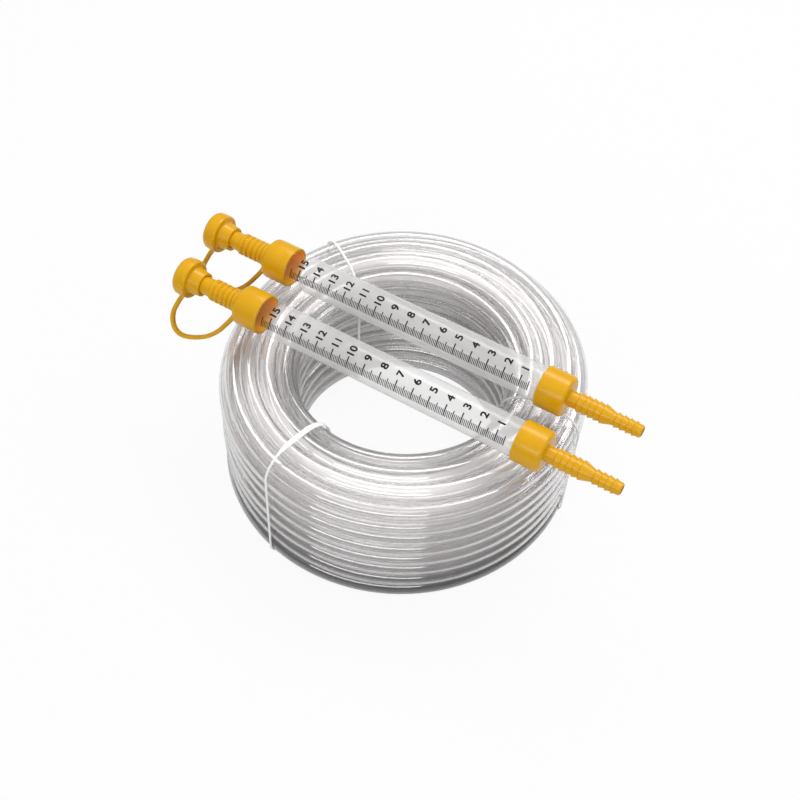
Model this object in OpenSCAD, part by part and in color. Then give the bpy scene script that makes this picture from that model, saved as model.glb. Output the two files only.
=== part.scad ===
// Water level hose tool: a tied coil of clear hose with two sight gauges lying across it.
// Millimetres, +Z up, the floor at z = 0, +X along the gauges towards their hose tails.

/* [Hose coil] */
// Outside diameter of the hose
hose_od = 10; // [8:0.5:11]
// Outside radius of the coil
coil_r = 103; // [98:1:120]
// Radius of the hole in the coil
coil_hole_r = 59; // [52:1:62]
// Height of the coil
coil_h = 92; // [70:1:110]
// Radius of the bundle's top edges, on the middle line of the turns
bundle_edge_r = 10; // [9:0.5:14]
// Least clear gap between one turn and the next
turn_gap = 0.5; // [0.5:0.1:2]
// Gap between the turns and the core that they lie on
core_gap = 0.3; // [0.2:0.1:1]
// Place of the coil's middle along X
coil_x = -3; // [-10:0.5:10]

/* [Ties] */
// Width of a tie
tie_w = 4; // [3:0.5:6]
// Thickness of a tie
tie_t = 0.8; // [0.5:0.1:1.2]
// Gap between a tie and the turns that it holds
tie_gap = 0.3; // [0.2:0.1:0.6]

/* [Sight tubes] */
// Outside diameter of a sight tube
tube_od = 20; // [16:0.5:22]
// Wall of a sight tube
tube_wall = 2; // [1:0.25:3]
// Length of tube that shows between its two collars
tube_show = 158.5; // [120:0.5:190]

/* [Collars] */
// Wall of a collar round the tube
collar_wall = 1.4; // [1:0.1:2.5]
// Clearance between the tube and its collar
tube_fit = 0.1; // [0.05:0.05:0.3]
// Depth of the collar's socket
socket_depth = 12; // [8:0.5:16]
// Floor of the collar, between the socket and the tail
collar_floor = 4; // [3:0.5:6]
// Rounding of the collar's shoulder
shoulder_round = 1; // [0.4:0.1:2]
// Thickness of the sealing washer under the tube's end
seal_t = 1.5; // [1:0.25:3]
// Radius of the water way through the hose tail
water_r = 2.5; // [1.5:0.25:3]

/* [Hose tail] */
// Diameter over the barbs next to the collar
tail_root_d = 11; // [10:0.1:13]
// Diameter over the barbs next to the tip
tail_step_d = 8.6; // [8.2:0.1:9.5]
// Diameter of the plain tip
tail_tip_d = 7; // [6.6:0.1:7.4]
// Barbs on the wide step
root_barbs = 5; // [2:1:7]
// Barbs on the narrow step
step_barbs = 4; // [2:1:6]
// Distance from one barb to the next
barb_pitch = 3.4; // [2.5:0.1:4.5]
// Height of a barb
barb_h = 0.45; // [0.2:0.05:0.6]
// Plain length between the collar and the first barb
tail_plain = 5.4; // [3:0.2:8]
// Length of the cone between the two steps
tail_cone = 7.6; // [4:0.2:12]
// Length of the cone behind the plain tip
tip_cone = 2; // [1:0.2:4]
// Length of the plain tip
tip_land = 2.8; // [2:0.2:6]

/* [Filler neck] */
// Radius of the filling way through the neck
filler_r = 3.4; // [2:0.1:3.8]
// Length of neck that shows between the collar and the cap
neck_show = 26; // [24:0.5:36]
// Length of neck inside the cap
neck_in_cap = 11; // [6:0.5:12]
// Diameter of the plain neck that the cap slides on
neck_d = 10.4; // [9.6:0.1:11]
// Diameter over the neck's ribs
rib_d = 12.6; // [12:0.1:14]
// Number of ribs
ribs = 4; // [2:1:5]
// Distance from one rib to the next
rib_pitch = 3.5; // [3:0.1:3.6]
// Height of a rib
rib_h = 0.5; // [0.3:0.05:0.7]

/* [Cap] */
// Diameter of the knob
knob_d = 22.4; // [20:0.2:26]
// Thickness of the knob
knob_t = 8.8; // [6:0.2:12]
// Rounding of the knob's outer edge
knob_round = 2.4; // [1:0.1:3]
// Length of the sleeve between the knob and the neck
sleeve_l = 7; // [6:0.5:14]
// Wall of the sleeve at its mouth
sleeve_wall = 1.5; // [1.2:0.1:2.5]
// Widening of the sleeve towards the knob, on the radius
sleeve_flare = 0.6; // [0:0.1:1.5]
// Running gap between the neck and the cap, on the radius and at the neck's end
cap_fit = 0.3; // [0.2:0.05:0.5]

/* [Tether] */
// Width of the tether's ring and strap
strap_w = 3.4; // [2.5:0.1:4]
// Thickness of the strap
strap_t = 1.8; // [1.2:0.1:2.4]
// Wall of the ring round the neck
ring_wall = 1.3; // [1:0.1:2]
// Running gap between the ring and the groove that it lies in
ring_fit = 0.3; // [0.2:0.05:0.5]
// Drop of the hanging loop below the neck's axis
tether_drop = 35; // [28:0.5:40]
// Turn of the hanging loop about the neck, away from straight down
tether_swing = 30; // [0:5:45]

/* [Gauges on the coil] */
// Place of the front gauge's upper shoulder along X, inwards from the coil's rim
front_x = 12; // [4:0.1:20]
// Place of the front gauge across the coil
front_y = -25; // [-40:0.5:-20]
// Place of the rear gauge's upper shoulder along X, inwards from the coil's rim
rear_x = 8.1; // [4:0.1:20]
// Place of the rear gauge across the coil
rear_y = 11.5; // [6:0.5:20]
// Gap between a gauge and what it rests on
rest_gap = 0.3; // [0.2:0.1:0.6]

/* [Hidden] */
$fn = 64;

// How far a cut runs past the face that it opens
over = 1;

HOSE_CLEAR = [0.86, 0.87, 0.89, 0.75];
CORE_CLEAR = [0.80, 0.81, 0.83];
TUBE_CLEAR = [0.90, 0.92, 0.95, 0.55];
YELLOW = [0.94, 0.73, 0.06];
TIE_WHITE = [0.96, 0.96, 0.95];
SEAL_GREY = [0.35, 0.36, 0.38];

collar_l = socket_depth + collar_floor;

// Middle of each gauge along X, from where its upper shoulder lies inside the coil's rim
function gauge_mid(inwards, across) =
    coil_x - sqrt(coil_r * coil_r - across * across) + inwards + collar_l + tube_show / 2;
front_mid = gauge_mid(front_x, front_y);
rear_mid = gauge_mid(rear_x, rear_y);

// Where the ties stand round the coil, in degrees from +X. The side tie runs under the rear gauge's
// lower collar, a little in front of its axis.
side_tie_off = 2;
tie_back_angle = 148;
tie_front_angle = 257.5;
tie_side_angle = atan2(rear_y - side_tie_off, rear_mid - coil_x + (tube_show + collar_l) / 2);

// Middle line of the outer layer of turns: up the hole's wall, over the top and down the outside.
// Each turn is straight from ring to ring, so half-way its line lies nearer to the axis by chord_share.
loop_rings = 24;
ring_sides = 6;
chord_share = cos(180 / loop_rings);
turn_r = hose_od / 2;
tie_lift = 0.2;
slot_clear = 0.5;
foot_gap = tie_lift + tie_t + slot_clear;
line_in = (coil_hole_r + turn_r) / chord_share;
line_out = coil_r - turn_r;
line_top = coil_h - turn_r;
line_foot = turn_r + foot_gap;
edge_r = min(bundle_edge_r, (line_out - line_in) / 2);
wall_l = line_top - edge_r - line_foot;
edge_l = edge_r * PI / 2;
crown_l = line_out - line_in - 2 * edge_r;
inner_edge_at = wall_l;
crown_at = inner_edge_at + edge_l;
outer_edge_at = crown_at + crown_l;
outer_wall_at = outer_edge_at + edge_l;
line_l = outer_wall_at + wall_l;

// Turns follow each other a chord of hose_od + turn_gap apart round the edges, where they lie closest
turn_pitch = 2 * edge_r * asin((hose_od + turn_gap) / (2 * edge_r)) * PI / 180;
ring_count = floor(loop_rings * line_l / turn_pitch);
wind_end = 35;

// Outside of the bundle, for the ties, and the core that the turns lie on
envelope_edge_r = edge_r + turn_r;
turn_reach = turn_r + core_gap;
core_in_r = line_in + turn_reach;
core_out_r = line_out * chord_share - turn_reach;
core_h = line_top - turn_reach;
core_edge_r = min(edge_r - turn_reach, (core_out_r - core_in_r) / 2);

// Collar, tube and washer
tube_r = tube_od / 2;
socket_r = tube_r + tube_fit;
collar_r = socket_r + collar_wall;
tube_l = tube_show + 2 * (socket_depth - seal_t);
mouth_round = 0.4;

// Hose tail, from the collar's shoulder to the tip
root_first = collar_l + tail_plain;
cone_at = root_first + (root_barbs - 1) * barb_pitch;
step_first = cone_at + tail_cone;
tip_cone_at = step_first + (step_barbs - 1) * barb_pitch;
tip_at = tip_cone_at + tip_cone;
tail_end = tip_at + tip_land;

// Filler neck, from the collar's shoulder to its end inside the cap
groove_off = 0.4;
groove_depth = 0.8;
rib_off = 0.8;
waist_show = 2;
lead_l = 1;
lead_h = 0.8;
valley_r = rib_d / 2 - rib_h;
groove_w = strap_w + 2 * ring_fit;
groove_at = collar_l + groove_off;
groove_end = groove_at + groove_w;
groove_r = valley_r - groove_depth;
first_rib_at = groove_end + rib_off;
neck_plain_at = collar_l + neck_show - waist_show;
neck_end = collar_l + neck_show + neck_in_cap;

// Outline of one rib: share of its height below the top, and share of the way to the next rib
rib_outline = [[1, 0], [0, 0.3], [0, 0.65], [1, 0.95]];

// Cap, from the mouth of its sleeve to the top of its knob
bore_r = neck_d / 2 + cap_fit;
bore_depth = neck_in_cap + cap_fit;
sleeve_mouth_r = bore_r + sleeve_wall;
sleeve_root_r = sleeve_mouth_r + sleeve_flare;
knob_r = knob_d / 2;
knob_inner_round = 0.8;
cap_l = sleeve_l + knob_t;

// Tether: middle line of the strap from the knob to the ring. Each point is the share of the way
// along the neck, and the share of the way from the knob's rim down to the lowest point of the loop.
ring_in_r = groove_r + ring_fit;
ring_out_r = ring_in_r + ring_wall;
ring_mid = groove_at + groove_w / 2;
knob_mid = collar_l + neck_show + sleeve_l + knob_t / 2;
strap_sink = 1.5;
strap_route = [
    [-0.06, 0.09], [-0.12, 0.34], [-0.15, 0.54], [-0.13, 0.75], [-0.06, 0.92], [0.06, 1],
    [0.20, 0.98], [0.38, 0.88], [0.58, 0.71], [0.75, 0.46], [0.86, 0.21], [0.94, 0]
];
strap_steps = 3;

// Height of each gauge's axis: the front one lies on the turns, the rear one on the side tie
front_z = coil_h + rest_gap + collar_r;
rear_z = coil_h + tie_gap + tie_t + rest_gap + collar_r;

// Points of an arc about centre c, from angle a to angle b
function arc(c, r, a, b, steps = 6) =
    [for (i = [0:steps]) let (t = a + (b - a) * i / steps) c + r * [cos(t), sin(t)]];

// Direction in which the winding's middle line is backed away from the core, at length s along it
function outward(s) =
    s < inner_edge_at ? 180 :
    s < crown_at ? 180 - 90 * (s - inner_edge_at) / edge_l :
    s < outer_edge_at ? 90 :
    s < outer_wall_at ? 90 - 90 * (s - outer_edge_at) / edge_l : 0;

// Radius and height of the winding's middle line, at length s along the bundle's section
function line_point(s) =
    let (a = outward(s), away = edge_r * [cos(a), sin(a)], edge_z = line_top - edge_r)
    s < inner_edge_at ? [line_in, line_foot + s] :
    s < crown_at ? [line_in + edge_r, edge_z] + away :
    s < outer_edge_at ? [line_in + edge_r + s - crown_at, line_top] :
    s < outer_wall_at ? [line_out - edge_r, edge_z] + away :
    [line_out, edge_z - (s - outer_wall_at)];

// Point of the winding at ring k: a section point p = [radius, height] turned about the coil's axis
function wound(p, k) =
    let (turn = wind_end - 360 * (ring_count - k) / loop_rings)
    [p.x * cos(turn), p.x * sin(turn), p.y];

function ring_s(k) = turn_pitch * k / loop_rings;

// Least clear gap of the winding to itself, measured between the middles of rings one and two turns apart
function least_gap() = min([
    for (k = [0:ring_count], m = [loop_rings - 2:2 * loop_rings + 2])
        if (k + m <= ring_count)
            norm(wound(line_point(ring_s(k + m)), k + m) - wound(line_point(ring_s(k)), k)) - hose_od
]);

// Section of the bundle: a block from r0 to r1 and z0 to z1 with rounded top edges
module arch(r0, r1, z0, z1, edge) {
    translate([r0, z0]) square([r1 - r0, z1 - edge - z0]);
    translate([r0 + edge, z0]) square([r1 - r0 - 2 * edge, z1 - z0]);
    for (r = [r0 + edge, r1 - edge])
        translate([r, z1 - edge]) circle(edge);
}

// Inner turns of the hose, as a plain ring with a slot under it for each tie
module hose_core() {
    color(CORE_CLEAR) translate([coil_x, 0, 0]) difference() {
        rotate_extrude()
            arch(core_in_r, core_out_r, 0, core_h, core_edge_r);
        for (a = [tie_back_angle, tie_front_angle, tie_side_angle])
            rotate(a) translate([0, -tie_w / 2 - tie_gap, -over])
                cube([coil_r, tie_w + 2 * tie_gap, foot_gap + over]);
    }
}

// Outer layer of the hose: one unbroken six-sided tube
module hose_winding() {
    echo(str("least gap of the winding to itself, mm: ", least_gap()));
    points = [
        for (k = [0:ring_count], j = [0:ring_sides - 1])
            let (s = ring_s(k), a = outward(s) + 360 * j / ring_sides)
            wound(line_point(s) + turn_r * [cos(a), sin(a)], k)
    ];
    sides = [
        for (k = [0:ring_count - 1], j = [0:ring_sides - 1], half = [0, 1])
            let (a = k * ring_sides + j, b = k * ring_sides + (j + 1) % ring_sides)
            half == 0 ? [a, b, b + ring_sides] : [a, b + ring_sides, a + ring_sides]
    ];
    last = ring_count * ring_sides;
    ends = [
        for (j = [1:ring_sides - 2], end = [0, 1])
            end == 0 ? [0, j + 1, j] : [last, last + j, last + j + 1]
    ];
    color(HOSE_CLEAR) translate([coil_x, 0, 0]) polyhedron(points, concat(sides, ends));
}

// Flat tie round the bundle, at an angle about the coil's axis
module tie(angle) {
    color(TIE_WHITE) translate([coil_x, 0, 0]) rotate(angle) rotate([90, 0, 0])
        linear_extrude(tie_w, center = true) difference() {
            arch(coil_hole_r - tie_gap - tie_t, coil_r + tie_gap + tie_t, tie_lift,
                coil_h + tie_gap + tie_t, envelope_edge_r + tie_gap + tie_t);
            arch(coil_hole_r - tie_gap, coil_r + tie_gap, tie_lift + tie_t,
                coil_h + tie_gap, envelope_edge_r + tie_gap);
        }
}

// Turns a piece made along Z so that it lies along +X
module along_x() {
    rotate([0, 90, 0]) children();
}

// Places a fitting made from its collar's mouth upwards: at the lower end of the gauge, or turned at
// the upper end
module at_lower_end() {
    translate([tube_show / 2, 0, 0]) along_x() children();
}

module at_upper_end() {
    mirror([1, 0, 0]) translate([tube_show / 2, 0, 0]) along_x() children();
}

module at_front() {
    translate([front_mid, front_y, front_z]) children();
}

module at_rear() {
    translate([rear_mid, rear_y, rear_z]) children();
}

module sight_tube() {
    color(TUBE_CLEAR) along_x() difference() {
        cylinder(r = tube_r, h = tube_l, center = true);
        cylinder(r = tube_r - tube_wall, h = tube_l + 2 * over, center = true);
    }
}

// Washer on the floor of a collar's socket, under the tube's end
module seal() {
    color(SEAL_GREY) translate([0, 0, socket_depth - seal_t]) difference() {
        cylinder(r = tube_r, h = seal_t);
        translate([0, 0, -over]) cylinder(r = tube_r - tube_wall, h = seal_t + 2 * over);
    }
}

// Collar with a tail, and a way of radius way_r through both: the tail's points are [radius, height above
// the collar's mouth], from the shoulder to the end
module fitting(tail, end, way_r) {
    collar = concat(
        [[socket_r, 0], [collar_r - mouth_round, 0], [collar_r, mouth_round]],
        arc([collar_r - shoulder_round, collar_l - shoulder_round], shoulder_round, 0, 90)
    );
    way = [[way_r, end], [way_r, socket_depth], [socket_r, socket_depth]];
    color(YELLOW) rotate_extrude() polygon(concat(collar, tail, way));
}

// Barbs: each rises square on the collar's side and slopes away towards the tip
function barbs(first, count, over_r) = [
    for (i = [0:count - 1], p = [[over_r - barb_h, 0], [over_r, 0]])
        [p.x, first + i * barb_pitch]
];

module hose_tail() {
    fitting(concat(
        [[tail_root_d / 2 - barb_h, collar_l]],
        barbs(root_first, root_barbs, tail_root_d / 2),
        barbs(step_first, step_barbs, tail_step_d / 2),
        [[tail_tip_d / 2, tip_at], [tail_tip_d / 2, tail_end]]
    ), tail_end, water_r);
}

// Ribs: each is a flat-topped ring with sloping sides
function rib_points() = [
    for (i = [0:ribs - 1], p = rib_outline)
        [rib_d / 2 - p.x * rib_h, first_rib_at + (i + p.y) * rib_pitch]
];

module filler_neck() {
    fitting(concat(
        [[valley_r, collar_l], [valley_r, groove_at], [groove_r, groove_at],
            [groove_r, groove_end], [valley_r, groove_end]],
        rib_points(),
        [[neck_d / 2, neck_plain_at], [neck_d / 2, neck_end - lead_l], [neck_d / 2 - lead_h, neck_end]]
    ), neck_end, filler_r);
}

// Cap: sleeve and knob over a blind bore, made from the mouth of the sleeve upwards
module cap() {
    inner_edge = arc([knob_r - knob_inner_round, sleeve_l + knob_inner_round], knob_inner_round, -90, 0, 3);
    outer_edge = arc([knob_r - knob_round, cap_l - knob_round], knob_round, 0, 90);
    outline = concat(
        [[bore_r, 0], [sleeve_mouth_r, 0], [sleeve_root_r, sleeve_l]],
        inner_edge, outer_edge,
        [[0, cap_l], [0, bore_depth], [bore_r, bore_depth]]
    );
    color(YELLOW) translate([0, 0, collar_l + neck_show]) rotate_extrude() polygon(outline);
}

// Smooth curve through a list of points, with strap_steps points from each one to the next
function smooth(p) = concat([
    for (i = [0:len(p) - 2], k = [0:strap_steps - 1])
        let (
            t = k / strap_steps,
            before = p[max(i - 1, 0)], from = p[i], to = p[i + 1], after = p[min(i + 2, len(p) - 1)]
        )
        0.5 * (2 * from + t * (to - before) + t * t * (2 * before - 5 * from + 4 * to - after)
            + t * t * t * (3 * from - before - 3 * to + after))
], [p[len(p) - 1]]);

// The curve p set off sideways by d
function beside(p, d) = [
    for (i = [0:len(p) - 1])
        let (along = p[min(i + 1, len(p) - 1)] - p[max(i - 1, 0)], n = norm(along))
        p[i] + d * [-along.y, along.x] / n
];

// Tether: strap from the knob down in a loop to a ring in the neck's groove, on the collar's own axis
module tether() {
    ends = [[knob_mid, knob_r - strap_sink], [ring_mid, ring_in_r + ring_wall / 2]];
    route = concat(
        [ends[0]],
        [for (q = strap_route)
            [knob_mid + q.x * (ring_mid - knob_mid), knob_r + q.y * (tether_drop - knob_r)]],
        [ends[1]]
    );
    line = smooth(route);
    left = beside(line, strap_t / 2);
    right = beside(line, -strap_t / 2);
    outline = concat(left, [for (i = [len(right) - 1:-1:0]) right[i]]);
    color(YELLOW) {
        translate([0, 0, groove_at + ring_fit]) difference() {
            cylinder(r = ring_out_r, h = strap_w);
            translate([0, 0, -over]) cylinder(r = ring_in_r, h = strap_w + 2 * over);
        }
        rotate([0, 0, -tether_swing]) rotate([90, 0, 0])
            linear_extrude(strap_w, center = true)
                polygon([for (q = outline) [q.y, q.x]]);
    }
}

hose_core();
hose_winding();
tie(tie_back_angle);  // tie_back
tie(tie_front_angle);  // tie_front
tie(tie_side_angle);  // tie_side
at_front() sight_tube();  // front_sight_tube
at_front() at_lower_end() hose_tail();  // front_hose_tail
at_front() at_upper_end() filler_neck();  // front_filler_neck
at_front() at_lower_end() seal();  // front_lower_seal
at_front() at_upper_end() seal();  // front_upper_seal
at_front() at_upper_end() cap();  // front_cap
at_front() at_upper_end() tether();  // front_tether
at_rear() sight_tube();  // rear_sight_tube
at_rear() at_lower_end() hose_tail();  // rear_hose_tail
at_rear() at_upper_end() filler_neck();  // rear_filler_neck
at_rear() at_lower_end() seal();  // rear_lower_seal
at_rear() at_upper_end() seal();  // rear_upper_seal
at_rear() at_upper_end() cap();  // rear_cap
at_rear() at_upper_end() tether();  // rear_tether
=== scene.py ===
import bmesh
import bpy
import numpy as np
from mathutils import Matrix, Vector


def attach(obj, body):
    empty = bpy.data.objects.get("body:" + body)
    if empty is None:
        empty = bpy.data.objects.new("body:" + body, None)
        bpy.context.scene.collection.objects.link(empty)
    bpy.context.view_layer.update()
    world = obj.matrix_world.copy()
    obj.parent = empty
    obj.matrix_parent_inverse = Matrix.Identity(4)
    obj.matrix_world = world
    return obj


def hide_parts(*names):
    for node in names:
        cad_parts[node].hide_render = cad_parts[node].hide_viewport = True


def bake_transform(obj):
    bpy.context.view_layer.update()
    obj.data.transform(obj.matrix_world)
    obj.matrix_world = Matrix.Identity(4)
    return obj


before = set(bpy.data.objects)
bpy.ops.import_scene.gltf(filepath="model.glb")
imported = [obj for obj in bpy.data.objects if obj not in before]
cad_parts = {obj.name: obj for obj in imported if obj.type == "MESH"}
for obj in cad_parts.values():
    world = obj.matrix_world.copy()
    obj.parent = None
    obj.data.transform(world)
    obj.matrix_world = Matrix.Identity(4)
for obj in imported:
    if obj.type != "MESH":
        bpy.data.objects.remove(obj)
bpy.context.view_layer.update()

# The camera stands in front of the coil and to its right, at about arm's length, and looks down on it
# a little more than half-way. It aims at the coil's middle.
TURN, RISE, AWAY = np.radians(31.94), np.radians(52.72), 0.7314
AIM = Vector((-0.003, 0, 0.050))
back = Vector((np.sin(TURN) * np.cos(RISE), -np.cos(TURN) * np.cos(RISE), np.sin(RISE)))
camera = bpy.data.objects.new("camera", bpy.data.cameras.new("camera"))
camera.data.sensor_width, camera.data.lens = 36, 57.27
camera.data.shift_x, camera.data.shift_y = -1.56 / 800, -1.12 / 800
camera.location = AIM + back * AWAY
camera.rotation_euler = (-back).to_track_quat("-Z", "Y").to_euler()
bpy.context.scene.collection.objects.link(camera)
bpy.context.scene.camera = camera
bpy.context.scene.view_settings.view_transform = "Standard"

# The hose is one length of clear soft plastic, 10 mm outside and 8 mm inside, extruded and wound by hand
# into a coil: two inner columns of turns, then up the wall of the hole, over the top and down the outside.
HOSE_R, BORE_R = 0.0050, 0.0040
COIL_X = -0.003
TURN_PITCH = 0.01035
RINGS_A_TURN, PACKED_RINGS, HOSE_SIDES = 112, 28, 20
LAST_TURN_ENDS = np.radians(35)
PACKED_TURNS = 15.9
EDGE_R, HOLE_LINE, RIM_LINE, TOP_LINE, FOOT_LINE = 0.012, 0.064, 0.098, 0.087, 0.0058
EDGE_Z = TOP_LINE - EDGE_R
INNER_LINE, MIDDLE_LINE, PACKED_FOOT, PACKED_TOP = 0.0753, 0.0868, 0.0164, 0.0764
LOWEST_LINE = FOOT_LINE - 0.0004
WALK_STEP = 0.00025
COIL_H, LEAN, OUT_OF_ROUND, SINK, SINK_FROM = 0.092, 0.0036, 0.005, 0.0011, 0.06


def straight(a, b):
    """Points one step apart from a to b, without b: a + t (b - a)."""
    a, b = np.array(a), np.array(b)
    t = np.arange(0, 1, WALK_STEP / np.linalg.norm(b - a))[:, None]
    return a + t * (b - a)


def bend(centre, radius, a, b):
    """Points about one step apart on an arc from angle a to b, without b: centre + radius (cos t, sin t)."""
    count = int(abs(np.radians(b - a)) * radius / WALK_STEP)
    t = np.radians(np.linspace(a, b, count, endpoint=False))
    return np.array(centre) + radius * np.column_stack([np.cos(t), np.sin(t)])


def lean(z):
    """How far the coil is set over at height z: to the camera's right at its top, to its left at its foot."""
    return LEAN * (z / COIL_H - 0.5)


def coil_place(radius, angle, z):
    """A point of the coil: radius (cos, sin) about its axis at height z, out of round by half a percent, its
    top sinking a little twice a turn, the whole set over by its lean."""
    r = radius * (1 + OUT_OF_ROUND * np.cos(2 * angle + 0.7))
    top = np.clip((z - SINK_FROM) / (TOP_LINE - SINK_FROM), 0, 1)
    z = z - top * SINK * (1 - np.cos(2 * angle + 1.9)) / 2
    side = lean(z)
    x = COIL_X + r * np.cos(angle) + side * np.cos(TURN)
    y = r * np.sin(angle) + side * np.sin(TURN)
    return np.stack([x, y, z], -1)


def hose_line():
    """Middle line of the hose, with the angle and the turn at each point. Its section point (radius, height)
    walks along the bundle's layers at an even pace while it goes round, one turn for each pitch walked, and
    it wanders by a few tenths of a millimetre."""
    walk = np.vstack([
        straight((INNER_LINE, PACKED_FOOT), (INNER_LINE, PACKED_TOP)),
        straight((INNER_LINE, PACKED_TOP), (MIDDLE_LINE, PACKED_TOP)),
        straight((MIDDLE_LINE, PACKED_TOP), (MIDDLE_LINE, FOOT_LINE)),
        straight((MIDDLE_LINE, FOOT_LINE), (HOLE_LINE, FOOT_LINE)),
        straight((HOLE_LINE, FOOT_LINE), (HOLE_LINE, EDGE_Z)),
        bend((HOLE_LINE + EDGE_R, EDGE_Z), EDGE_R, 180, 90),
        straight((HOLE_LINE + EDGE_R, TOP_LINE), (RIM_LINE - EDGE_R, TOP_LINE)),
        bend((RIM_LINE - EDGE_R, EDGE_Z), EDGE_R, 90, 0),
        straight((RIM_LINE, EDGE_Z), (RIM_LINE, FOOT_LINE)),
        [(RIM_LINE, FOOT_LINE)],
    ])
    walked = np.concatenate([[0], np.cumsum(np.linalg.norm(np.diff(walk, axis=0), axis=1))])
    turns = walked[-1] / TURN_PITCH
    packed = np.linspace(0, PACKED_TURNS, int(PACKED_TURNS * PACKED_RINGS), endpoint=False)
    shown = np.linspace(PACKED_TURNS, turns, int((turns - PACKED_TURNS) * RINGS_A_TURN))
    turn = np.concatenate([packed, shown])
    radius = np.interp(turn * TURN_PITCH, walked, walk[:, 0])
    height = np.interp(turn * TURN_PITCH, walked, walk[:, 1])
    radius += 0.00022 * np.sin(2.33 * turn * 2 * np.pi + 1.0) + 0.00020 * np.sin(0.37 * turn * 2 * np.pi)
    height += (0.00022 * np.sin(1.61 * turn * 2 * np.pi + 0.4)
               + 0.00018 * np.sin(0.43 * turn * 2 * np.pi + 2.0))
    angle = LAST_TURN_ENDS - (turns - turn) * 2 * np.pi
    return coil_place(radius, angle, np.maximum(height, LOWEST_LINE)), angle, turn


def grid_faces(rows, columns, wrap_rows, wrap_columns):
    """Quads of a grid numbered row by row: each joins a point to the next in its row, and both to those of
    the next row. A wrapped direction joins its last line to its first."""
    r = np.arange(rows if wrap_rows else rows - 1)[:, None]
    c = np.arange(columns if wrap_columns else columns - 1)[None, :]
    up, on = (r + 1) % rows, (c + 1) % columns
    quads = np.broadcast_arrays(r * columns + c, r * columns + on, up * columns + on, up * columns + c)
    return np.stack(quads, -1).reshape(-1, 4)


def new_piece(name, points, faces, material, crease=None, inside=None):
    """A smooth mesh at the origin with its place in its points. Its faces look outwards: their order turns
    round where the sum of p0 . (p1 x p2) over the triangles, seen from a point inside, is negative."""
    points = points.reshape(-1, 3)
    p = points[faces] - (points.mean(0) if inside is None else inside)
    volume = np.einsum("ij,ij->", p[:, 0], np.cross(p[:, 1], p[:, 2]) + np.cross(p[:, 2], p[:, -1]))
    mesh = bpy.data.meshes.new(name)
    mesh.from_pydata(points, [], faces[:, ::-1] if volume < 0 else faces)
    mesh.shade_smooth()
    if crease:
        mesh.set_sharp_from_angle(angle=np.radians(crease))
    mesh.materials.append(material)
    made = bpy.data.objects.new(name, mesh)
    bpy.context.scene.collection.objects.link(made)
    return made


class Shade:
    """A value in a material's node tree. Sums, products and powers of it add Math nodes to that tree."""

    def __init__(self, tree, socket=None):
        self.tree, self.socket = tree, socket

    def node(self, kind, settings, sockets, out=0):
        """Adds a node of a kind. Its settings are set first, then the values or links of its sockets."""
        made = self.tree.nodes.new(kind)
        for key, value in settings.items():
            setattr(made, key, value)
        for key, value in sockets.items():
            if isinstance(value, Shade):
                self.tree.links.new(value.socket, made.inputs[key])
            else:
                made.inputs[key].default_value = value
        return Shade(self.tree, made.outputs[out])

    def maths(self, operation, a, b):
        return self.node("ShaderNodeMath", {"operation": operation}, {0: a, 1: b})

    def __add__(self, other):
        return self.maths("ADD", self, other)

    def __sub__(self, other):
        return self.maths("SUBTRACT", self, other)

    def __rsub__(self, other):
        return self.maths("SUBTRACT", other, self)

    def __mul__(self, other):
        return self.maths("MULTIPLY", self, other)

    def __pow__(self, other):
        return self.maths("POWER", self, other)

    __radd__, __rmul__ = __add__, __mul__

    def colour(self, at_0, at_1):
        """The colour that lies this share of the way from at_0 to at_1."""
        return self.node("ShaderNodeMix", {"data_type": "RGBA"}, {0: self, 6: at_0, 7: at_1}, 2)

    def rise(self, first, last):
        """Goes smoothly from 0 where this value is first to 1 where it is last."""
        smooth = {"interpolation_type": "SMOOTHSTEP"}
        return self.node("ShaderNodeMapRange", smooth, {0: self, 1: first, 2: last})

    def place(self):
        """The place on the object, in the object's own frame."""
        return self.node("ShaderNodeTexCoord", {}, {}, "Object")

    def cloud(self, where, scale, detail=2.0):
        """Noise from 0 to 1 about 0.5, at a place and a scale."""
        return self.node("ShaderNodeTexNoise", {}, {"Vector": where, "Scale": scale, "Detail": detail}, "Fac")

    def bump(self, height, depth):
        """A normal tilted by a height, in metres of depth at 1."""
        return self.node("ShaderNodeBump", {}, {"Height": height, "Distance": depth, "Strength": 1.0})


def new_finish(name, **even):
    """A material of one shader, with its even values set on the shader's own sockets. Returns the material,
    its node tree to add varying values to, and a function that joins those to the shader's sockets."""
    made = bpy.data.materials.new(name)
    made.use_nodes = True
    shader = made.node_tree.nodes["Principled BSDF"]
    for key, value in even.items():
        shader.inputs[key.replace("_", " ")].default_value = value

    def join(**varying):
        for key, value in varying.items():
            made.node_tree.links.new(value.socket, shader.inputs[key.replace("_", " ")])

    return made, Shade(made.node_tree), join


def srgb(r, g, b):
    """A colour as a screen shows it, 0 to 255, as light: ((c + 0.055) / 1.055) to the power 2.4."""
    c = np.array([r, g, b]) / 255
    return (*np.where(c > 0.04045, ((c + 0.055) / 1.055) ** 2.4, c / 12.92), 1.0)


def give_way(material, share, other):
    """Puts another shader in the place of this share of a material's own."""
    nodes = material.node_tree.nodes
    own = Shade(material.node_tree, nodes["Principled BSDF"].outputs[0])
    mixed = own.node("ShaderNodeMixShader", {}, {0: share, 1: own, 2: other})
    material.node_tree.links.new(mixed.socket, nodes["Material Output"].inputs["Surface"])


def pass_lamps(material, tint):
    """Lets lamp light pass a clear wall straight on, as thin plastic does: for the rays that look for lamps,
    the material's shader gives way to a plain see-through one of this tint."""
    tree = Shade(material.node_tree)
    lamp_ray = tree.node("ShaderNodeLightPath", {}, {}, "Is Shadow Ray")
    give_way(material, lamp_ray, tree.node("ShaderNodeBsdfTransparent", {}, {"Color": tint}))


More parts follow.
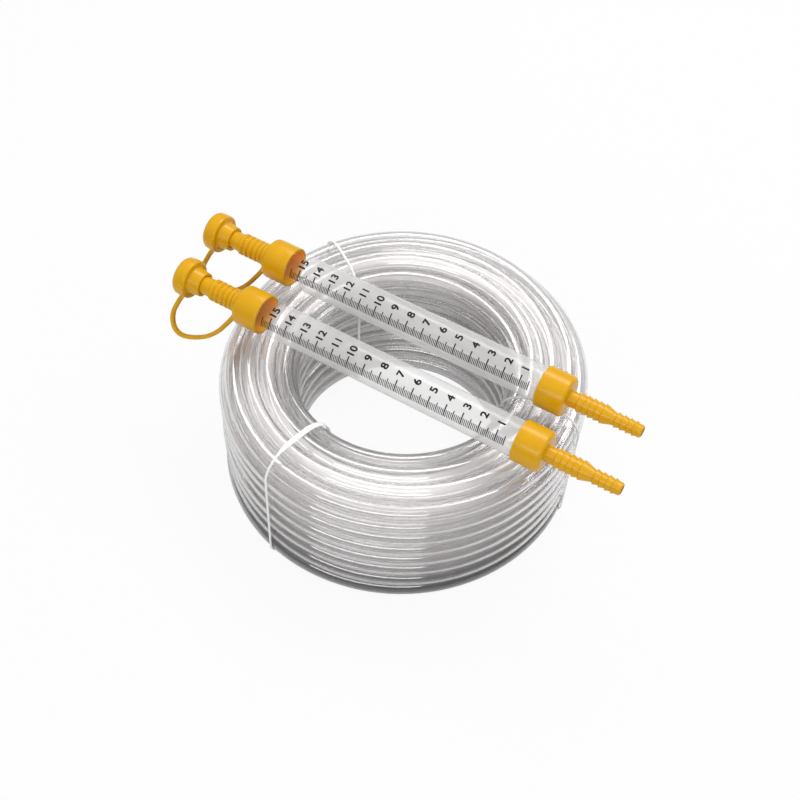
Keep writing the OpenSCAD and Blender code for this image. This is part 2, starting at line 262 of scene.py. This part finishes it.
def length_cloud(tree, scale):
    """Noise that changes along the hose only."""
    along = tree.node("ShaderNodeAttribute", {"attribute_name": "along"}, {}, "Fac")
    return tree.cloud(tree.node("ShaderNodeCombineXYZ", {}, {"X": along * scale}), 1.0, 3.0)


# The painted shade at the coil's foot is full below this height and comes in between these two radii.
FOOT_SHADE_Z, FOOT_SHADE_R = 0.002, (0.080, 0.095)


def off_foot(tree, high):
    """From 0 at the foot of the coil's outside, where the turns are greyed by painted shade, to 1 at a height
    above it and further in."""
    where = tree.place()
    height = tree.node("ShaderNodeSeparateXYZ", {}, {0: where}, "Z")
    level = tree.node("ShaderNodeVectorMath", {"operation": "MULTIPLY"}, {0: where, 1: (1, 1, 0)})
    radius = tree.node("ShaderNodeVectorMath", {"operation": "LENGTH"}, {0: level}, "Value")
    return 1 - height.rise(high, FOOT_SHADE_Z) * radius.rise(*FOOT_SHADE_R)


def see_through(name, rough, **even):
    """The hose's clear plastic, drawn a little unevenly along its length and about this rough."""
    made, tree, join = new_finish(name, IOR=1.45, Transmission_Weight=1.0, **even)
    draw = length_cloud(tree, 9.0)
    # Painted shade: towards the foot of the coil's outside the clear turns are coloured a darker grey.
    share = off_foot(tree, 0.018) * (0.85 + 0.15 * draw)
    join(Base_Color=share.colour(srgb(116, 114, 114), srgb(251, 250, 250)),
         Roughness=rough * (0.6 + 0.8 * draw))
    pass_lamps(made, srgb(252, 252, 252))
    return made


clear_hose = see_through("clear_hose", 0.04, Coat_Weight=1.0, Coat_Roughness=0.03, Coat_IOR=1.75)
hose_bore = see_through("hose_bore", 0.06)
packed_hose, tree, join = new_finish("packed_hose", IOR=1.42)
draw = length_cloud(tree, 9.0)
# Painted shade: towards the foot of the coil's outside the packed turns are coloured a darker grey.
share = off_foot(tree, 0.035) * (0.75 + 0.25 * draw)
join(Base_Color=share.colour(srgb(92, 90, 89), srgb(236, 234, 233)), Roughness=0.14 + 0.1 * draw)
pass_lamps(packed_hose, srgb(236, 236, 236))

line, line_angle, line_turn = hose_line()
tangent = np.gradient(line, axis=0)
tangent /= np.linalg.norm(tangent, axis=1, keepdims=True)
out = np.column_stack([np.cos(line_angle), np.sin(line_angle), np.zeros(len(line))])
out -= tangent * np.einsum("ij,ij->i", out, tangent)[:, None]
out /= np.linalg.norm(out, axis=1, keepdims=True)
side = np.cross(tangent, out)
around = np.linspace(0, 2 * np.pi, HOSE_SIDES, endpoint=False)[None, :, None]
rim_of = np.cos(around) * out[:, None] + np.sin(around) * side[:, None]
skin = line[:, None] + HOSE_R * rim_of
bore = line[:, None] + BORE_R * rim_of
hose_faces = grid_faces(2 * len(line), HOSE_SIDES, True, True)
hose = new_piece("hose", np.concatenate([skin, bore[::-1]]), hose_faces, clear_hose, crease=60)
length = np.concatenate([[0], np.cumsum(np.linalg.norm(np.diff(line, axis=0), axis=1))])
lengthwise = np.repeat(np.concatenate([length, length[::-1]]), HOSE_SIDES)
hose.data.attributes.new("along", "FLOAT", "POINT").data.foreach_set("value", lengthwise.astype(np.float32))
hose.data.materials.append(hose_bore)
hose.data.materials.append(packed_hose)
ring_turn = np.concatenate([line_turn, line_turn[::-1]])
ring_finish = np.where(ring_turn < PACKED_TURNS, 2, np.repeat([0, 1], len(line)))
hose.data.polygons.foreach_set("material_index", np.repeat(ring_finish, HOSE_SIDES).astype(np.int32))
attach(hose, "coil")
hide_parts("hose_core", "hose_winding")

# Three flat white plastic ties hold the turns together. Each is a thin strip passed round the bundle, which
# gets narrower from the top to the outside and goes in under the lowest turn.
TIE_AT = {"tie_back": (148.0, 0.0007), "tie_front": (257.5, 0.0016), "tie_side": (6.14, 0.0008)}
TIE_T, TIE_OFF, TIE_DRAWN, TIE_FLOOR = 0.0008, 0.0009, 0.00065, 0.0005
NARROW_FROM, NARROW_OVER, TIE_STEPS, BAND_SIDES = 0.086, 0.010, 6, 16

white_tie, tree, join = new_finish("white_tie", IOR=1.5)
grain = tree.cloud(tree.place(), 900.0)
join(Base_Color=grain.colour(srgb(232, 232, 230), srgb(250, 250, 248)), Roughness=0.35 + 0.2 * grain,
     Normal=tree.bump(grain, 0.00008))


def loft(centre, wide, thick, across, through, corner=4.0):
    """A band along a line: at each of its points a rounded oblong with half sizes wide and thick along two
    directions, whose edge is (cos a, sin a) with each part raised to the power 2 / corner."""
    a = np.linspace(0, 2 * np.pi, BAND_SIDES, endpoint=False)
    x = np.sign(np.cos(a)) * np.abs(np.cos(a)) ** (2 / corner)
    y = np.sign(np.sin(a)) * np.abs(np.sin(a)) ** (2 / corner)
    return (centre[:, None] + (wide[:, None] * x)[..., None] * across[:, None]
            + (thick[:, None] * y)[..., None] * through[:, None])


for name, (degrees, half_top) in TIE_AT.items():
    turn_left = (LAST_TURN_ENDS - np.radians(degrees)) % (2 * np.pi) / (2 * np.pi)
    foot, rim_foot = HOSE_R, FOOT_LINE + TURN_PITCH * turn_left
    r_in, r_out = HOLE_LINE - HOSE_R - TIE_OFF, RIM_LINE + HOSE_R + TIE_OFF
    edge = EDGE_R + HOSE_R + TIE_OFF
    loop = np.vstack([
        straight((r_out - rim_foot, TIE_FLOOR), (r_in + foot, TIE_FLOOR)),
        bend((r_in + foot, TIE_FLOOR + foot), foot, 270, 180),
        straight((r_in, TIE_FLOOR + foot), (r_in, EDGE_Z)),
        bend((r_in + edge, EDGE_Z), edge, 180, 90),
        straight((r_in + edge, EDGE_Z + edge), (r_out - edge, EDGE_Z + edge)),
        bend((r_out - edge, EDGE_Z), edge, 90, 0),
        straight((r_out, EDGE_Z), (r_out, TIE_FLOOR + rim_foot)),
        bend((r_out - rim_foot, TIE_FLOOR + rim_foot), rim_foot, 0, -90),
    ])[::TIE_STEPS]
    angle = np.full(len(loop), np.radians(degrees))
    run = coil_place(loop[:, 0], angle, loop[:, 1])
    run[:, 2] = np.maximum(run[:, 2], TIE_FLOOR)
    flow = np.roll(run, -1, axis=0) - np.roll(run, 1, axis=0)
    flow /= np.linalg.norm(flow, axis=1, keepdims=True)
    across = np.tile([-np.sin(angle[0]), np.cos(angle[0]), 0.0], (len(run), 1))
    on_wall = np.clip((loop[:, 0] - NARROW_FROM) / NARROW_OVER, 0, 1)
    width = half_top - (half_top - TIE_DRAWN) * on_wall ** 2 * (3 - 2 * on_wall)
    body = loft(run, width, np.full(len(run), TIE_T / 2), across, np.cross(flow, across))
    tie = new_piece(name + "_strip", body, grid_faces(len(run), BAND_SIDES, True, True), white_tie, crease=50)
    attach(tie, "coil")
    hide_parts(name)

# A sight tube is a length of clear rigid plastic pipe, 20 mm outside and 16 mm inside, cut square with its
# edges broken. It stands in the sockets of both collars, against a washer at each end. Its bore is clear,
# and its outside is a little milky except close to the cap's collar.
GAUGES = {"front": (0.00433, -0.025, 0.1038), "rear": (-0.002006, 0.0115, 0.1049)}
TUBE_R, TUBE_BORE_R, TUBE_HALF, SHOWN_HALF = 0.010, 0.008, 0.08975, 0.07925
LATHE_SIDES = 96
MILKY_FROM, MILKY_TO = 0.005, 0.012

clear_tube, tree, join = new_finish("clear_tube", IOR=1.49, Coat_Weight=0.4, Coat_Roughness=0.08)
haze = tree.cloud(tree.place(), 45.0)
facing = tree.node("ShaderNodeLayerWeight", {}, {"Blend": 0.5}, "Facing")
from_cap = tree.node("ShaderNodeAttribute", {"attribute_name": "from_cap"}, {}, "Fac")
milky = from_cap.rise(MILKY_FROM, MILKY_TO)
join(Base_Color=haze.colour(srgb(218, 217, 216), srgb(230, 229, 228)), Roughness=0.03 + 0.04 * haze,
     Alpha=milky * (0.40 + 0.30 * facing ** 3.0) + 0.02)


def rounded(corners):
    """A closed outline from corners (x, r, cut): each corner becomes five points of the parabola that leaves
    its two sides at the distance cut, (1 - t)^2 p0 + 2 t (1 - t) p + t^2 p1."""
    corners = np.array(corners, float)
    p, cut = corners[:, :2], corners[:, 2:]
    before, after = np.roll(p, 1, axis=0) - p, np.roll(p, -1, axis=0) - p
    p0 = p + before * cut / np.linalg.norm(before, axis=1, keepdims=True)
    p1 = p + after * cut / np.linalg.norm(after, axis=1, keepdims=True)
    t = np.linspace(0, 1, 5)[None, :, None]
    return ((1 - t) ** 2 * p0[:, None] + 2 * t * (1 - t) * p[:, None] + t ** 2 * p1[:, None]).reshape(-1, 2)


def lathe(outline, place, upper=False):
    """An outline of (x, r) turned about the gauge's axis: (x, r cos a, r sin a) from the gauge's middle. At
    the upper end x runs the other way."""
    a = np.linspace(0, 2 * np.pi, LATHE_SIDES, endpoint=False)
    x, r = outline[:, :1], outline[:, 1:]
    x = -x if upper else x
    return np.stack(np.broadcast_arrays(x, r * np.cos(a), r * np.sin(a)), -1) + np.array(place)


def turned(name, outline, place, material, upper=False, crease=35):
    """A new piece turned from an outline, sharp where its faces meet at more than the crease in degrees."""
    points = lathe(outline, place, upper)
    return new_piece(name, points, grid_faces(len(outline), LATHE_SIDES, True, True), material, crease)


tube_outline = rounded([(-TUBE_HALF, TUBE_BORE_R, 0.0002), (-TUBE_HALF, TUBE_R, 0.0003),
                        (TUBE_HALF, TUBE_R, 0.0003), (TUBE_HALF, TUBE_BORE_R, 0.0002)])
off_bore = tube_outline[:, 1] > TUBE_BORE_R + 0.0004
off_cap = np.repeat(np.where(off_bore, tube_outline[:, 0] + SHOWN_HALF, 0), LATHE_SIDES).astype(np.float32)
for gauge, place in GAUGES.items():
    tube = turned(gauge + "_tube", tube_outline, place, clear_tube)
    tube.data.attributes.new("from_cap", "FLOAT", "POINT").data.foreach_set("value", off_cap)
    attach(tube, gauge + "_gauge")
    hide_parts(gauge + "_sight_tube")

# The scale is printed on the tube in black ink: a line for each millimetre, longer at five and longest at
# ten, with the centimetres numbered from 1 at the hose tail to 15 at the cap.
INK_R = TUBE_R + 0.00003
ONE_AT, CENTIMETRE = 0.0693, 0.010
NUMBER_SIZE, NUMBER_BOLD, NUMBER_WIDE, NUMBER_CUT = 0.0059, 0.00020, 1.15, 0.0004
NUMBER_AT, LONG_FROM, MIDDLE_FROM, SHORT_FROM, LINES_TO = np.radians([13.0, 35.0, 43.0, 51.0, 74.0])
LONG_HALF, MIDDLE_HALF, SHORT_HALF, LINE_POINTS = 0.00036, 0.00028, 0.00022, 9

black_ink, tree, join = new_finish("black_ink", IOR=1.5, Specular_IOR_Level=0.15)
grain = tree.cloud(tree.place(), 2500.0)
join(Base_Color=grain.colour(srgb(12, 12, 13), srgb(34, 34, 35)), Roughness=0.55 + 0.2 * grain)


def on_tube(x, turn, place):
    """Points of the print: (x, -r sin t, r cos t) from the gauge's middle, t from the top to the front."""
    return np.stack([x, -INK_R * np.sin(turn), INK_R * np.cos(turn)], -1) + np.array(place)


millimetre = np.arange(-5, 146)
line_x = ONE_AT - CENTIMETRE / 10 * millimetre
ten, five = millimetre % 10 == 0, millimetre % 5 == 0
from_turn = np.where(ten, LONG_FROM, np.where(five, MIDDLE_FROM, SHORT_FROM))
half_line = np.where(ten, LONG_HALF, np.where(five, MIDDLE_HALF, SHORT_HALF))
share = np.linspace(0, 1, LINE_POINTS)
line_turn = from_turn[:, None] + (LINES_TO - from_turn)[:, None] * share
edge = np.array([-1.0, 1.0])
ink_x = np.broadcast_to(line_x[:, None, None] + half_line[:, None, None] * edge[None, :, None],
                        (len(line_x), 2, LINE_POINTS))
ink_turn = np.broadcast_to(line_turn[:, None, :], ink_x.shape)
first_point = np.arange(len(line_x)) * 2 * LINE_POINTS
line_quads = grid_faces(2, LINE_POINTS, False, False)[None] + first_point[:, None, None]
line_quads = line_quads.reshape(-1, 4)


def number_shape(text):
    """Flat points and triangles of a number, centred: u along the reading direction and v up. It is cut
    across in steps so that it can follow the tube, and each point of its outline moves out along the mean of
    its two edges' normals, (dv, -du), which makes its strokes bolder."""
    curve = bpy.data.curves.new("number", "FONT")
    curve.body, curve.size = text, NUMBER_SIZE
    flat = bpy.data.objects.new("number", curve)
    bpy.context.scene.collection.objects.link(flat)
    filled = flat.evaluated_get(bpy.context.evaluated_depsgraph_get())
    shape = bmesh.new()
    shape.from_mesh(bpy.data.meshes.new_from_object(filled))
    bpy.data.objects.remove(flat)
    bmesh.ops.remove_doubles(shape, verts=shape.verts[:], dist=1e-6)
    for cut in np.arange(0, 2 * NUMBER_SIZE, NUMBER_CUT):
        bmesh.ops.bisect_plane(shape, geom=[*shape.verts, *shape.edges, *shape.faces], plane_co=(cut, 0, 0),
                               plane_no=(1, 0, 0))
    bmesh.ops.triangulate(shape, faces=shape.faces[:])
    mesh = bpy.data.meshes.new("number")
    shape.to_mesh(mesh)
    shape.free()
    points = np.empty(3 * len(mesh.vertices))
    mesh.vertices.foreach_get("co", points)
    corners = np.empty(3 * len(mesh.polygons), np.int32)
    mesh.loops.foreach_get("vertex_index", corners)
    points, corners = points.reshape(-1, 3)[:, :2], corners.reshape(-1, 3)
    edges = corners[:, [[0, 1], [1, 2], [2, 0]]].reshape(-1, 2)
    _, first, uses = np.unique(np.sort(edges, axis=1), axis=0, return_index=True, return_counts=True)
    outline = edges[first[uses == 1]]
    step = points[outline[:, 1]] - points[outline[:, 0]]
    normal = np.column_stack([step[:, 1], -step[:, 0]]) / np.linalg.norm(step, axis=1, keepdims=True)
    push = np.zeros_like(points)
    np.add.at(push, outline[:, 0], normal)
    np.add.at(push, outline[:, 1], normal)
    points = points + NUMBER_BOLD * push / np.maximum(np.linalg.norm(push, axis=1, keepdims=True), 1e-9)
    return points - (points.min(0) + points.max(0)) / 2, corners


number_x, number_turn, number_faces, count = [], [], [], 0
for number in range(1, 16):
    points, corners = number_shape(str(number))
    number_x.append(ONE_AT - CENTIMETRE * (number - 1) - points[:, 1])
    number_turn.append(NUMBER_AT - NUMBER_WIDE * points[:, 0] / INK_R)
    number_faces.append(corners + count)
    count += len(points)
number_x, number_turn = np.concatenate(number_x), np.concatenate(number_turn)
number_faces = np.concatenate(number_faces)
for gauge, place in GAUGES.items():
    lines = new_piece(gauge + "_scale_lines", on_tube(ink_x, ink_turn, place), line_quads, black_ink,
                      inside=place)
    numbers = new_piece(gauge + "_scale_numbers", on_tube(number_x, number_turn, place), number_faces,
                        black_ink, inside=place)
    for print_piece in (lines, numbers):
        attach(print_piece, gauge + "_gauge")

# Both ends of a gauge carry a fitting moulded in yellow plastic: a collar that takes the tube, and on it a
# stepped tail with barbs for the hose, or a ribbed neck that the cap is pushed on.
COLLAR_R, SOCKET_R, SOCKET_L, COLLAR_L = 0.0115, 0.0101, 0.012, 0.016
WATER_R, FILLER_R = 0.0025, 0.0034


def moulded(name, through, depth, dark, light):
    """The yellow plastic, mottled between two colours, which lets light through it by this share and to about
    this depth."""
    made, tree, join = new_finish(name, IOR=1.5, Specular_IOR_Level=0.3, Subsurface_Weight=through,
                                  Subsurface_Radius=(1.0, 0.5, 0.05), Subsurface_Scale=depth)
    where = tree.place()
    mottle = tree.cloud(where, 160.0, 3.0)
    grain = tree.cloud(where, 2600.0)
    join(Base_Color=mottle.colour(dark, light), Roughness=0.16 + 0.16 * grain,
         Normal=tree.bump(grain, 0.00003))
    return made


yellow_plastic = moulded("yellow_plastic", 0.15, 0.0006, srgb(205, 151, 2), srgb(216, 163, 2))
# The socket's inside is a lighter, more orange copy of the yellow plastic. Its stronger light through the
# plastic is real, and its lighter colour is painted light for what comes in through the collar's wall.
yellow_socket_painted_light = moulded("yellow_socket_painted_light", 0.9, 0.005, srgb(240, 168, 6), srgb(250, 180, 10))

ROOT_R, STEP_R, TIP_R = 0.0055, 0.0043, 0.0035
BARB_H, BARB_PITCH, BARB_STEEP, BARB_CUT = 0.0010, 0.0034, 0.0002, 0.00012
ROOT_FIRST = COLLAR_L + 0.0054
STEP_FIRST = ROOT_FIRST + 4 * BARB_PITCH + 0.0076
TIP_AT = STEP_FIRST + 3 * BARB_PITCH + 0.0020
TAIL_END = TIP_AT + 0.0028


def barb_row(first, count, over):
    """Corners of a row of barbs: each rises steeply on the collar's side and slopes away towards the tip."""
    return [(first + i * BARB_PITCH + x, over - h, BARB_CUT)
            for i in range(count) for x, h in ((-BARB_STEEP, BARB_H), (BARB_STEEP, 0.0))]


collar = [(0, SOCKET_R, 0.0002), (0, COLLAR_R, 0.0005), (COLLAR_L, COLLAR_R, 0.0026)]
tail_outline = rounded(collar + [(COLLAR_L, ROOT_R - BARB_H, 0.0008)] + barb_row(ROOT_FIRST, 5, ROOT_R)
                       + barb_row(STEP_FIRST, 4, STEP_R)
                       + [(TIP_AT, TIP_R, 0.0003), (TAIL_END, TIP_R, 0.0012), (TAIL_END, WATER_R, 0.0002),
                          (SOCKET_L, WATER_R, 0.0002), (SOCKET_L, SOCKET_R, 0.0002)])

RIB_R, RIB_H, RIB_PITCH, RIB_FIRST, NECK_R = 0.0063, 0.0009, 0.0033, 0.0230, 0.0052
NECK_SHOWN, NECK_END, WAIST_AT = COLLAR_L + 0.026, COLLAR_L + 0.037, COLLAR_L + 0.0215
GROOVE_FROM, GROOVE_TO, GROOVE_R = 0.0164, 0.0204, 0.0050
ribs = [(RIB_FIRST + (i + x) * RIB_PITCH, RIB_R - h * RIB_H, 0.00022)
        for i in range(4) for x, h in ((0, 1), (0.2, 0), (0.72, 0), (0.92, 1))]
groove = [(COLLAR_L, RIB_R, 0.0002), (GROOVE_FROM, RIB_R, 0.0001), (GROOVE_FROM, GROOVE_R, 0.0001),
          (GROOVE_TO, GROOVE_R, 0.0001), (GROOVE_TO, RIB_R, 0.0002), (RIB_FIRST - 0.0006, RIB_R, 0.0003)]
neck_outline = rounded(collar + groove + ribs
                       + [(WAIST_AT, NECK_R, 0.0010), (NECK_END - 0.001, NECK_R, 0.0004),
                          (NECK_END, NECK_R - 0.0008, 0.0003), (NECK_END, FILLER_R, 0.0002),
                          (SOCKET_L, FILLER_R, 0.0002), (SOCKET_L, SOCKET_R, 0.0002)])
tail_outline[:, 0] += SHOWN_HALF
neck_outline[:, 0] += SHOWN_HALF
for gauge, place in GAUGES.items():
    for name, outline, upper in (("hose_tail", tail_outline, False), ("filler_neck", neck_outline, True)):
        fitting = turned(f"{gauge}_{name}_fitting", outline, place, yellow_plastic, upper)
        # The faces inside the socket take the painted-light copy of the yellow plastic.
        socket_painted_light_faces = (outline[:, 0] < SHOWN_HALF + SOCKET_L + 1e-6) & (outline[:, 1] < SOCKET_R + 1e-6)
        socket_painted_light_faces = np.repeat(socket_painted_light_faces & np.roll(socket_painted_light_faces, -1), LATHE_SIDES).astype(np.int32)
        fitting.data.materials.append(yellow_socket_painted_light)
        fitting.data.polygons.foreach_set("material_index", socket_painted_light_faces)
        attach(fitting, gauge + "_gauge")
        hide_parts(f"{gauge}_{name}")

# A washer of soft grey rubber lies on the floor of each socket, under the end of the tube, and keeps the
# joint tight. They are plain rings, held by the tube.
grey_seal, tree, join = new_finish("grey_seal", IOR=1.5)
grain = tree.cloud(tree.place(), 1200.0)
join(Base_Color=grain.colour(srgb(88, 90, 94), srgb(112, 114, 118)), Roughness=0.6 + 0.2 * grain)
for gauge in GAUGES:
    for end in ("lower", "upper"):
        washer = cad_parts[f"{gauge}_{end}_seal"]
        washer.data.materials.clear()
        washer.data.materials.append(grey_seal)

# The cap is moulded in the same yellow plastic: a sleeve that slides on the neck, a little wider towards its
# knob, and a round knob to pull it by.
SLEEVE_L, MOUTH_R, SLEEVE_R, KNOB_L, KNOB_R = 0.007, 0.0070, 0.0079, 0.0088, 0.0112
CAP_BORE_R, CAP_DEPTH, AXIS_R, NO_CUT = 0.0055, 0.0113, 0.00001, 0.000001
mouth = SHOWN_HALF + NECK_SHOWN
knob = mouth + SLEEVE_L
cap_outline = rounded([(mouth, CAP_BORE_R, 0.0002), (mouth, MOUTH_R, 0.0004), (knob, SLEEVE_R, 0.0005),
                       (knob, KNOB_R, 0.0012), (knob + KNOB_L, KNOB_R, 0.0034),
                       (knob + KNOB_L, AXIS_R, NO_CUT), (mouth + CAP_DEPTH, AXIS_R, NO_CUT),
                       (mouth + CAP_DEPTH, CAP_BORE_R, 0.0002)])
for gauge, place in GAUGES.items():
    cap = turned(gauge + "_cap_knob", cap_outline, place, yellow_plastic, True)
    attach(cap, gauge + "_closure")
    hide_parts(gauge + "_cap")

# The tether keeps the cap with its gauge: a bendy yellow strap from the knob's rim, hanging in a loop, to a
# ring that sits in a groove at the root of the neck.
STRAP_W, STRAP_T, DROP, SWING = 0.0016, 0.0013, 0.035, np.radians(30)
ROUTE = np.array([(-0.06, 0.09), (-0.12, 0.34), (-0.15, 0.54), (-0.13, 0.75), (-0.06, 0.92), (0.06, 1.0),
                  (0.20, 0.98), (0.38, 0.88), (0.58, 0.71), (0.75, 0.46), (0.86, 0.21), (0.94, 0.0)])
RING_FROM, RING_MID, RING_TO, RING_BORE_R, RING_R = 0.0167, 0.0184, 0.0201, 0.0053, 0.0066
KNOB_MID = NECK_SHOWN + SLEEVE_L + KNOB_L / 2
KNOB_ROOT_R, RING_ROOT_R = KNOB_R - 0.0006, 0.0062
ROUTE_STEPS, BEND_FROM, BEND_TO = 8, 0.0215, 0.0500


def smooth_line(p, steps):
    """A curve through the points p, with steps points from each to the next: half of 2 p1 + t (p2 - p0) +
    t^2 (2 p0 - 5 p1 + 4 p2 - p3) + t^3 (3 p1 - p0 - 3 p2 + p3)."""
    q = np.vstack([p[:1], p, p[-1:]])
    p0, p1, p2, p3 = (q[i:len(q) - 3 + i, None] for i in range(4))
    t = np.linspace(0, 1, steps, endpoint=False)[None, :, None]
    curve = 0.5 * (2 * p1 + t * (p2 - p0) + t ** 2 * (2 * p0 - 5 * p1 + 4 * p2 - p3)
                   + t ** 3 * (3 * p1 - p0 - 3 * p2 + p3))
    return np.vstack([curve.reshape(-1, p.shape[1]), p[-1:]])


hanging = np.column_stack([KNOB_MID + ROUTE[:, 0] * (RING_MID - KNOB_MID),
                           KNOB_R + ROUTE[:, 1] * (DROP - KNOB_R)])
route = np.vstack([[(KNOB_MID, KNOB_ROOT_R)], hanging, [(RING_MID, RING_ROOT_R)]])
on_axis, off_axis = smooth_line(route, ROUTE_STEPS).T
strap_line = np.column_stack([-SHOWN_HALF - on_axis, -off_axis * np.sin(SWING), -off_axis * np.cos(SWING)])
ring_outline = rounded([(RING_FROM, RING_BORE_R, 0.0002), (RING_FROM, RING_R, 0.0004),
                        (RING_TO, RING_R, 0.0004), (RING_TO, RING_BORE_R, 0.0002)])
ring_outline[:, 0] += SHOWN_HALF
for gauge, place in GAUGES.items():
    run = strap_line + np.array(place)
    flow = np.gradient(run, axis=0)
    flow /= np.linalg.norm(flow, axis=1, keepdims=True)
    across = np.tile([0.0, np.cos(SWING), -np.sin(SWING)], (len(run), 1))
    wide, thick = np.full(len(run), STRAP_W), np.full(len(run), STRAP_T)
    body = loft(run, wide, thick, across, np.cross(flow, across), corner=2.6)
    ends = np.repeat(run[[0, -1], None], BAND_SIDES, axis=1)
    body = np.concatenate([ends[:1], body, ends[1:]])
    strap_faces = grid_faces(len(body), BAND_SIDES, False, True)
    strap = new_piece(gauge + "_strap", body, strap_faces, yellow_plastic, crease=60)
    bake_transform(strap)
    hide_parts(gauge + "_tether")
    ring = turned(gauge + "_strap_ring", ring_outline, place, yellow_plastic, True)
    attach(ring, gauge + "_gauge")
    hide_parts(gauge + "_tether")

# The object lies on a plain white table in a pale room. A wide lamp stands above and behind it, a narrower
# one in front and a weak one at its left. What the camera sees of the table, bare, mirrored or through the
# clear plastic, is lifted towards white.
TABLE_LIFT, CLEAR_LIFT = 0.92, 0.1
LOW_WALL, CEILING = 0.28, 0.84
table, tree, join = new_finish("white_table", Roughness=0.9, Base_Color=(0.66, 0.66, 0.66, 1))
bare, mirrored, through = (tree.node("ShaderNodeLightPath", {}, {}, f"Is {ray} Ray")
                           for ray in ("Camera", "Glossy", "Transmission"))
lift = tree.node("ShaderNodeClamp", {}, {0: TABLE_LIFT * bare + CLEAR_LIFT * (mirrored + through)})
give_way(table, lift, tree.node("ShaderNodeEmission", {}, {"Color": (1, 1, 1, 1), "Strength": 1.0}))
floor_mesh = bpy.data.meshes.new("floor")
floor_mesh.from_pydata([(-6, -6, 0), (6, -6, 0), (6, 6, 0), (-6, 6, 0)], [], [(0, 1, 2, 3)])
floor_mesh.materials.append(table)
floor = bpy.data.objects.new("floor", floor_mesh)
bpy.context.scene.collection.objects.link(floor)

world = bpy.data.worlds.new("room")
world.use_nodes = True
sky = Shade(world.node_tree)
upward = sky.node("ShaderNodeSeparateXYZ", {}, {0: sky.node("ShaderNodeTexCoord", {}, {}, "Generated")}, "Z")
level = sky.node("ShaderNodeMapRange", {}, {0: upward, 1: 0.0, 2: 0.9, 3: LOW_WALL, 4: CEILING})
seen = sky.node("ShaderNodeLightPath", {}, {}, "Is Camera Ray")
glow = world.node_tree.nodes["Background"]
glow.inputs["Color"].default_value = (1, 1, 1, 1)
world.node_tree.links.new((seen + (1 - seen) * level).socket, glow.inputs["Strength"])
bpy.context.scene.world = world


def panel(name, place, width, height, watts):
    """An oblong area lamp at a place, facing the coil's middle."""
    lamp = bpy.data.lights.new(name, "AREA")
    lamp.shape, lamp.size, lamp.size_y, lamp.energy = "RECTANGLE", width, height, watts
    made = bpy.data.objects.new(name, lamp)
    made.location = place
    made.rotation_euler = (AIM - made.location).to_track_quat("-Z", "Y").to_euler()
    bpy.context.scene.collection.objects.link(made)


panel("above_behind", Vector((0.05, 0.67, 1.10)), 1.2, 0.5, 10.5)
panel("front", Vector((0.25, -1.00, 0.75)), 1.2, 0.3, 5.0)
panel("left", Vector((-1.05, -0.25, 0.45)), 0.8, 0.2, 0.6)

bounces = bpy.context.scene.cycles
bounces.max_bounces, bounces.transmission_bounces, bounces.transparent_max_bounces = 24, 24, 32
